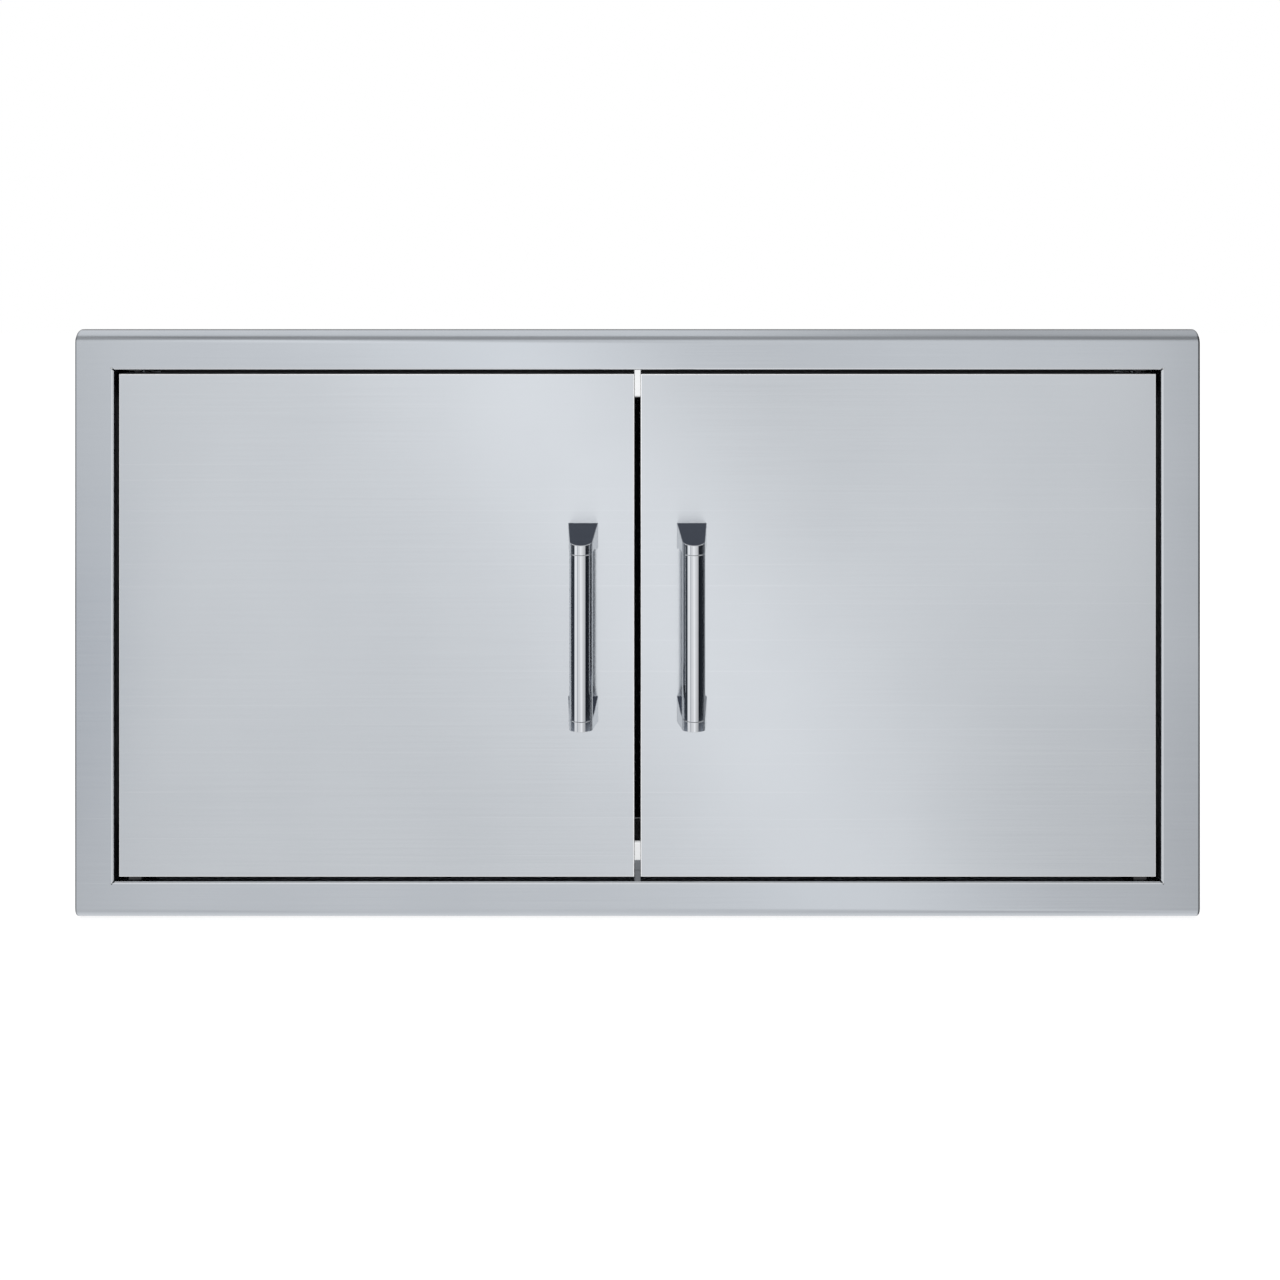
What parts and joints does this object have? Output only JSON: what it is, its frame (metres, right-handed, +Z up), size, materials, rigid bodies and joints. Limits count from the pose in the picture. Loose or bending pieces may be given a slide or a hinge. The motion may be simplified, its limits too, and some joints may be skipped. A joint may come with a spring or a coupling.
{
  "type": "island access door",
  "caption": "Flush stainless access door for an outdoor kitchen island: rolled-edge frame, side-hinged double-walled doors meeting at a centre gap, upright bar handles on tapered feet.",
  "frame": {"origin": "centre of the opening, in the plane where the frame's rear lip seats on the front of the island's wall", "axes": "+X to the right seen from in front, +Y into the island, +Z up; the doors face -Y"},
  "size_m": [1.0668, 0.1108, 0.561],
  "materials": {
    "brushed_frame": "fine horizontal grain, satin",
    "brushed_door": "fine horizontal grain, satin",
    "brushed_liner": "mill finish with faint grain",
    "folded_sheet": "mill finish",
    "polished_steel": "polished tube",
    "polished_casting": "polished casting",
    "turned_steel": "turned and bright",
    "spring_steel": "drawn wire",
    "plated_steel": "zinc plated",
    "black_nylon": "moulded",
    "white_plastic": "moulded",
    "ferrite": "pressed block",
    "black_rubber": "moulded button"
  },
  "bodies": {
    "frame": {"face_frame": "brushed_frame", "header_jamb": "folded_sheet", "sill_jamb": "folded_sheet", "stop_rail_top": "folded_sheet", "stop_rail_bottom": "folded_sheet", "door_bumpers": "black_rubber", "lower_pivot_pins": "turned_steel", "side_jamb_left": "folded_sheet", "side_jamb_right": "folded_sheet", "upper_pivot_bush_left": "black_nylon", "upper_pivot_bush_right": "black_nylon", "catch_body_left": "white_plastic", "catch_body_right": "white_plastic", "catch_poles_left": "plated_steel", "catch_poles_right": "plated_steel", "catch_magnet_left": "ferrite", "catch_magnet_right": "ferrite"},
    "left_door": {"door_skin_left": "brushed_door", "door_liner_left": "brushed_liner", "strike_plate_left": "plated_steel", "handle_tube_left": "polished_steel", "handle_mount_upper_left": "polished_casting", "handle_mount_lower_left": "polished_casting", "handle_screws_left": "plated_steel", "pin_bracket_left": "folded_sheet", "pin_spring_left": "spring_steel", "lower_bush_left": "black_nylon"},
    "left_pin": {"pivot_pin_left": "turned_steel", "release_tab_left": "plated_steel"},
    "right_door": {"door_skin_right": "brushed_door", "door_liner_right": "brushed_liner", "strike_plate_right": "plated_steel", "handle_tube_right": "polished_steel", "handle_mount_upper_right": "polished_casting", "handle_mount_lower_right": "polished_casting", "handle_screws_right": "plated_steel", "pin_bracket_right": "folded_sheet", "pin_spring_right": "spring_steel", "lower_bush_right": "black_nylon"},
    "right_pin": {"pivot_pin_right": "turned_steel", "release_tab_right": "plated_steel"}
  },
  "joints": [
    {"name": "left_door_hinge", "type": "hinge", "parent": "frame", "child": "left_door", "pos_m": [-0.4775, -0.0065, 0], "axis": [0, 0, -1], "range_deg": [0, 120]},
    {"name": "right_door_hinge", "type": "hinge", "parent": "frame", "child": "right_door", "pos_m": [0.4775, -0.0065, 0], "axis": [0, 0, 1], "range_deg": [0, 120]},
    {"name": "left_pin_slide", "type": "slide", "parent": "left_door", "child": "left_pin", "axis": [0, 0, -1], "range_m": [0, 0.007], "stiffness_N_per_m": 400, "springref_m": -0.012, "deforming": ["pin_spring_left"]},
    {"name": "right_pin_slide", "type": "slide", "parent": "right_door", "child": "right_pin", "axis": [0, 0, -1], "range_m": [0, 0.007], "stiffness_N_per_m": 400, "springref_m": -0.012, "deforming": ["pin_spring_right"]}
  ]
}
